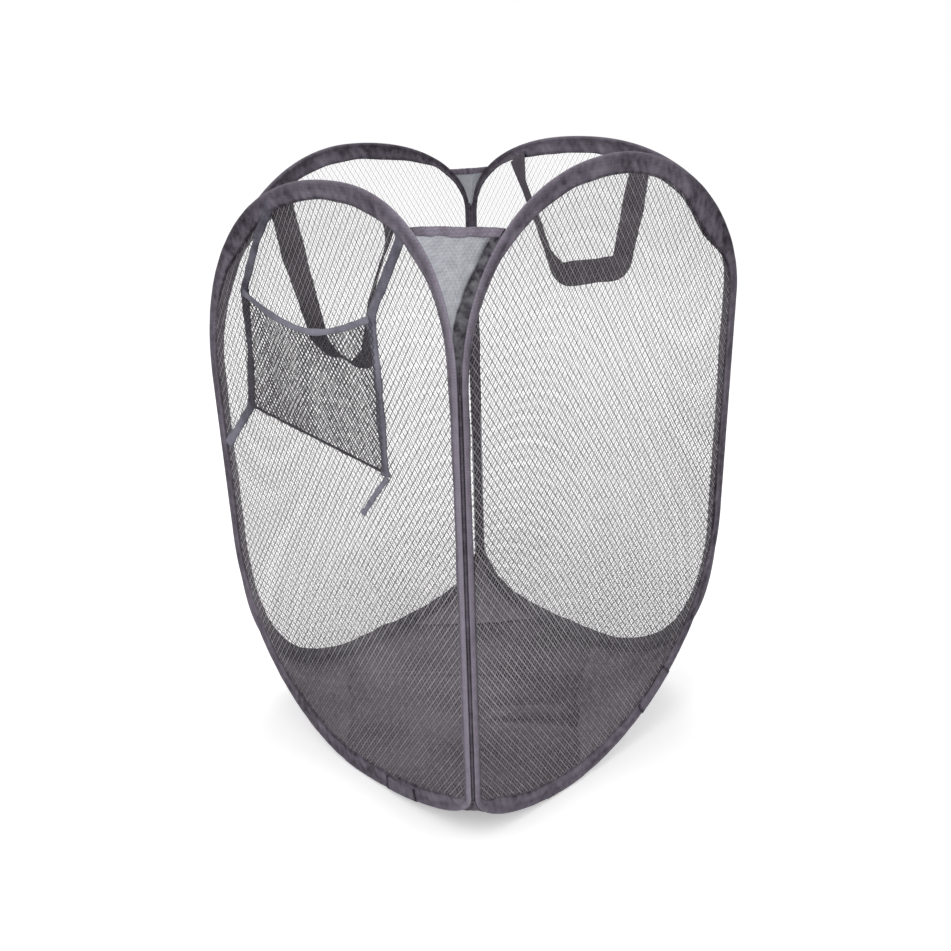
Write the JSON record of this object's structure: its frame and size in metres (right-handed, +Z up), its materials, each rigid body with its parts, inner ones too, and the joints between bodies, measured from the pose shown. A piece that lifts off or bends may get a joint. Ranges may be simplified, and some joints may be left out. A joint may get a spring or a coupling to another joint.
{
  "type": "pop-up laundry hamper",
  "caption": "open-topped pop-up laundry hamper: hooped mesh panels sewn round a cloth base, with hanging strap handles and a mesh pocket",
  "frame": {"origin": "middle of the base on the floor, at the middle of the underside of the base cloth", "axes": "+Z up; the front panel with the pocket faces -Y, the right panel faces +X"},
  "size_m": [0.3556, 0.3603, 0.566],
  "materials": {
    "sleeve": "woven nylon tape, matt",
    "net": "knitted mesh, matt",
    "gusset": "coated woven nylon, slight sheen",
    "base": "woven nylon, matt",
    "strap": "folded woven strap, matt",
    "tape": "binding tape, matt",
    "steel": "spring steel wire"
  },
  "bodies": {
    "front": {"front_hoop_wire": "steel", "front_hoop_ferrule": "steel", "front_hoop_sleeve": "sleeve", "front_sleeve_lap": "sleeve", "front_net": "net", "front_right_seam": "sleeve", "front_right_top_gusset": "gusset", "front_right_gusset_binding": "sleeve", "front_right_foot_gusset": "base", "front_left_seam": "sleeve", "front_left_top_gusset": "gusset", "front_left_gusset_binding": "sleeve", "front_left_foot_gusset": "base", "base_cloth": "base", "pocket_net": "net", "pocket_left_tape": "tape", "pocket_right_tape": "tape", "pocket_hem": "tape", "pocket_bottom_seam": "net", "pocket_tape_tail": "tape"},
    "right": {"right_hoop_wire": "steel", "right_hoop_ferrule": "steel", "right_hoop_sleeve": "sleeve", "right_sleeve_lap": "sleeve", "right_net": "net", "back_right_seam": "sleeve", "back_right_top_gusset": "gusset", "back_right_gusset_binding": "sleeve", "back_right_foot_gusset": "base"},
    "back": {"back_hoop_wire": "steel", "back_hoop_ferrule": "steel", "back_hoop_sleeve": "sleeve", "back_sleeve_lap": "sleeve", "back_net": "net", "back_left_seam": "sleeve", "back_left_top_gusset": "gusset", "back_left_gusset_binding": "sleeve", "back_left_foot_gusset": "base"},
    "left": {"left_hoop_wire": "steel", "left_hoop_ferrule": "steel", "left_hoop_sleeve": "sleeve", "left_sleeve_lap": "sleeve", "left_net": "net"},
    "front_handle": {"front_handle": "strap"},
    "back_handle": {"back_handle": "strap"}
  },
  "joints": [
    {"name": "right_fold", "type": "hinge", "parent": "front", "child": "right", "pos_m": [0.1721, -0.1721, 0], "axis": [0, 0, 1], "range_deg": [-84, 84], "deforming": ["front_right_top_gusset", "front_right_gusset_binding", "front_right_foot_gusset", "back_right_top_gusset", "back_right_gusset_binding", "back_right_foot_gusset", "back_left_top_gusset", "back_left_gusset_binding", "back_left_foot_gusset", "front_left_top_gusset", "front_left_gusset_binding", "front_left_foot_gusset", "base_cloth"]},
    {"name": "left_fold", "type": "hinge", "parent": "front", "child": "left", "pos_m": [-0.1721, -0.1721, 0], "axis": [0, 0, 1], "range_deg": [-84, 84]},
    {"name": "back_fold", "type": "hinge", "parent": "right", "child": "back", "pos_m": [0.1721, 0.1721, 0], "axis": [0, 0, 1], "range_deg": [-84, 84]},
    {"name": "front_handle_swing", "type": "hinge", "parent": "front", "child": "front_handle", "pos_m": [0.0288, -0.17265, 0.5325], "axis": [1, 0, 0], "range_deg": [0, 170]},
    {"name": "back_handle_swing", "type": "hinge", "parent": "back", "child": "back_handle", "pos_m": [-0.0195, 0.17265, 0.5398], "axis": [-1, 0, 0], "range_deg": [0, 170]}
  ],
  "couplings": [
    {"joint": "left_fold", "follows": "right_fold", "ratio": 1},
    {"joint": "back_fold", "follows": "right_fold", "ratio": -1}
  ]
}
